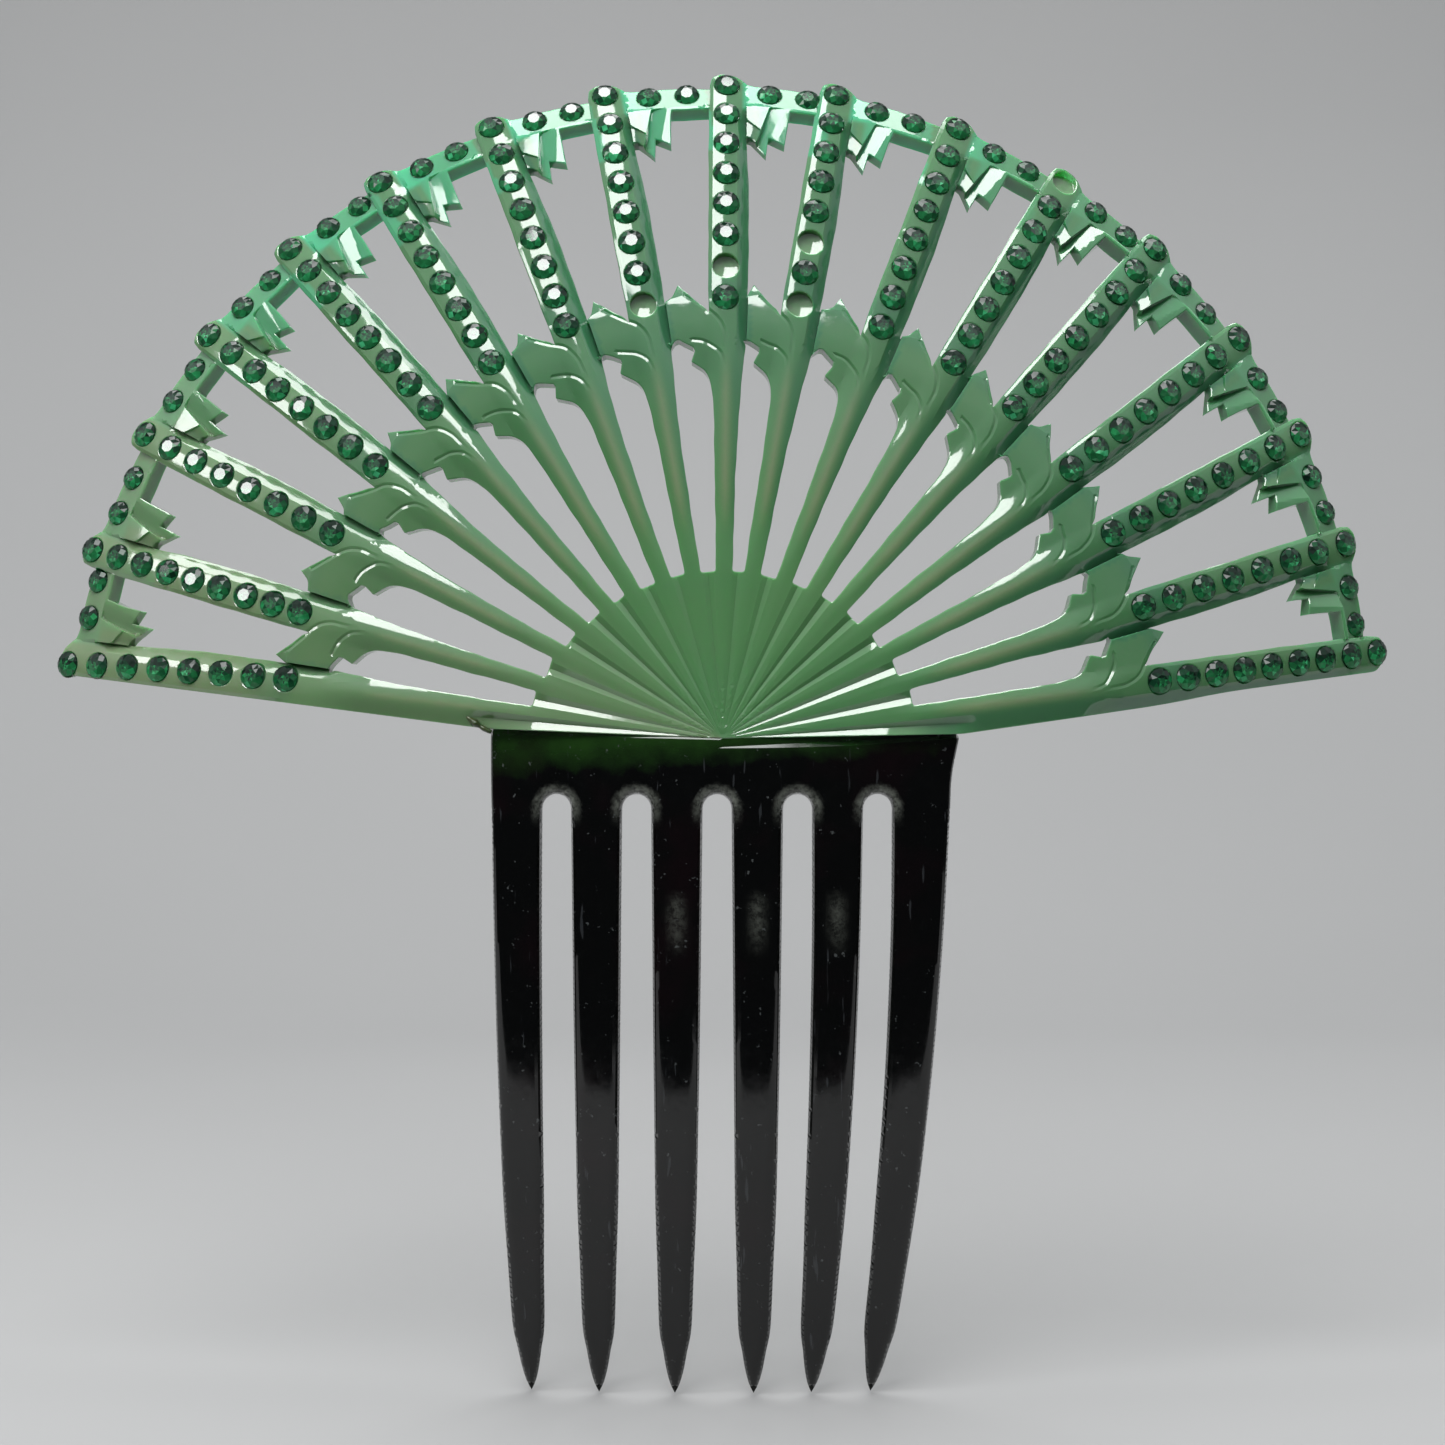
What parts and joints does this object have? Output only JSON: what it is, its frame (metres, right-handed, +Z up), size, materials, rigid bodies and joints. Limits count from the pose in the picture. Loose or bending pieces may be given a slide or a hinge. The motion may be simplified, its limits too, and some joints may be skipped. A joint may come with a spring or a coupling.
{
  "type": "decorative hair comb",
  "caption": "Pierced, pleated fan-shaped top set with rows of round paste stones, cemented to the front of a bowed comb with long curved teeth.",
  "frame": {"origin": "middle of the line through the roots of the teeth, on the comb's front face at its middle, where the hair stops", "axes": "+X to the right seen from the front, +Z up along the fan's middle stick, the stones face -Y and the head is on the +Y side"},
  "size_m": [0.1534, 0.0162, 0.1517],
  "materials": {
    "jade_celluloid": "polished, milky and slightly translucent jade green",
    "bottle_green_celluloid": "polished, so deep a green that it looks black except where it is thin",
    "green_paste": "faceted dark emerald glass with a foiled back"
  },
  "bodies": {
    "root": {"fan": "jade_celluloid", "toothed_comb": "bottle_green_celluloid", "stick_01_stones": "green_paste", "stick_02_stones": "green_paste", "stick_03_stones": "green_paste", "stick_04_stones": "green_paste", "stick_05_stones": "green_paste", "stick_06_stones": "green_paste", "stick_07_stones": "green_paste", "stick_08_stones": "green_paste", "stick_09_stones": "green_paste", "stick_10_stones": "green_paste", "stick_11_stones": "green_paste", "stick_12_stones": "green_paste", "stick_13_stones": "green_paste", "stick_14_stones": "green_paste", "stick_15_stones": "green_paste", "stick_16_stones": "green_paste", "stick_17_stones": "green_paste", "rim_01_stones": "green_paste", "rim_02_stones": "green_paste", "rim_03_stones": "green_paste", "rim_04_stones": "green_paste", "rim_05_stones": "green_paste", "rim_06_stones": "green_paste", "rim_07_stones": "green_paste", "rim_08_stones": "green_paste", "rim_09_stones": "green_paste", "rim_10_stones": "green_paste", "rim_11_stones": "green_paste", "rim_12_stones": "green_paste", "rim_13_stones": "green_paste", "rim_14_stones": "green_paste", "rim_15_stones": "green_paste", "rim_16_stones": "green_paste"}
  },
  "joints": []
}
